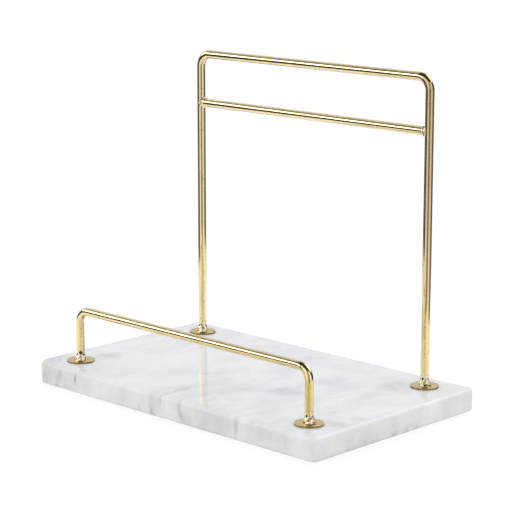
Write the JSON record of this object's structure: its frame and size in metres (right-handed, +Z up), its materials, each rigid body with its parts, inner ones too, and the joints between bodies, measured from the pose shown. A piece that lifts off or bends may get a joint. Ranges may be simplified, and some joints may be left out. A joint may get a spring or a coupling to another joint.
{
  "type": "paper towel holder",
  "caption": "Free-standing holder for folded paper towels: a marble slab with a tall bent-rod back frame, a cross bar below its top, and a low bent-rod front rail.",
  "frame": {"origin": "on the plane that the rubber pads rest on, under the middle of the marble slab", "axes": "+X along the slab's long side to the right, -Y towards the front rail, +Y towards the tall back frame, +Z up"},
  "size_m": [0.25, 0.15, 0.215],
  "materials": {
    "marble": "polished",
    "gold_plated_steel": "polished",
    "zinc_plated_steel": "satin",
    "rubber": "matte"
  },
  "bodies": {
    "root": {"marble_base": "marble", "back_frame": "gold_plated_steel", "front_rail": "gold_plated_steel", "cross_bar": "gold_plated_steel", "cross_bar_left_weld": "gold_plated_steel", "cross_bar_right_weld": "gold_plated_steel", "back_left_flange": "gold_plated_steel", "back_right_flange": "gold_plated_steel", "front_left_flange": "gold_plated_steel", "front_right_flange": "gold_plated_steel", "back_left_foot_weld": "gold_plated_steel", "back_right_foot_weld": "gold_plated_steel", "front_left_foot_weld": "gold_plated_steel", "front_right_foot_weld": "gold_plated_steel", "back_left_screw": "zinc_plated_steel", "back_right_screw": "zinc_plated_steel", "front_left_screw": "zinc_plated_steel", "front_right_screw": "zinc_plated_steel", "back_left_washer": "zinc_plated_steel", "back_right_washer": "zinc_plated_steel", "front_left_washer": "zinc_plated_steel", "front_right_washer": "zinc_plated_steel", "back_left_pad": "rubber", "back_right_pad": "rubber", "front_left_pad": "rubber", "front_right_pad": "rubber"}
  },
  "joints": []
}
